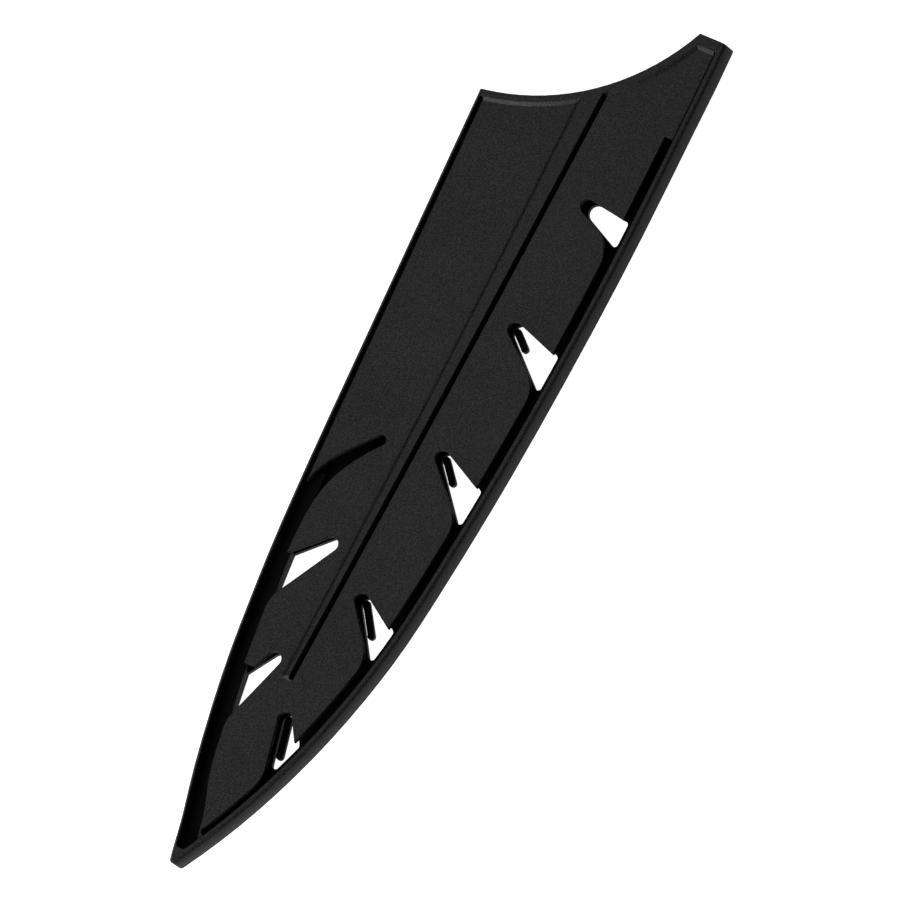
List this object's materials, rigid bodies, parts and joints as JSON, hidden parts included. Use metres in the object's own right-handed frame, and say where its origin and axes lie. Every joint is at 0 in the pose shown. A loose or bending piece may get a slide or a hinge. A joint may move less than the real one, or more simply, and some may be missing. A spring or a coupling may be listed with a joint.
{
  "type": "knife blade guard",
  "caption": "Flat moulded sheath that covers a chef's knife blade, with a curved open mouth, a central rib, flexing lobes and windows along both edges.",
  "frame": {"origin": "middle of the footprint, on the back face that the guard lies on", "axes": "+X from the tip to the mouth at the handle end, +Y from the belly to the straight spine, +Z out of the front face"},
  "size_m": [0.21, 0.0476, 0.0058],
  "materials": {
    "guard_plastic": "fine matte moulded black plastic"
  },
  "bodies": {
    "guard_body": {"back_tray": "guard_plastic", "front_leaf": "guard_plastic"},
    "finger_1": {"retention_finger_1": "guard_plastic"},
    "finger_2": {"retention_finger_2": "guard_plastic"},
    "finger_3": {"retention_finger_3": "guard_plastic"},
    "finger_4": {"retention_finger_4": "guard_plastic"}
  },
  "joints": [
    {"name": "finger_1_flex", "type": "hinge", "parent": "guard_body", "child": "finger_1", "pos_m": [0.03034, -0.00626, 0.00085], "axis": [-0.7471, 0.6647, 0], "range_deg": [-3.5, 0], "stiffness_Nm_per_rad": 0.02},
    {"name": "finger_2_flex", "type": "hinge", "parent": "guard_body", "child": "finger_2", "pos_m": [-0.00118, -0.00368, 0.00085], "axis": [-0.649, 0.7608, 0], "range_deg": [-2.9, 0], "stiffness_Nm_per_rad": 0.02},
    {"name": "finger_3_flex", "type": "hinge", "parent": "guard_body", "child": "finger_3", "pos_m": [-0.03664, -0.00086, 0.00085], "axis": [-0.563, 0.8265, 0], "range_deg": [-2.2, 0], "stiffness_Nm_per_rad": 0.02},
    {"name": "finger_4_flex", "type": "hinge", "parent": "guard_body", "child": "finger_4", "pos_m": [-0.06628, 0.00425, 0.00085], "axis": [-0.2019, 0.9794, 0], "range_deg": [-2, 0], "stiffness_Nm_per_rad": 0.02}
  ]
}
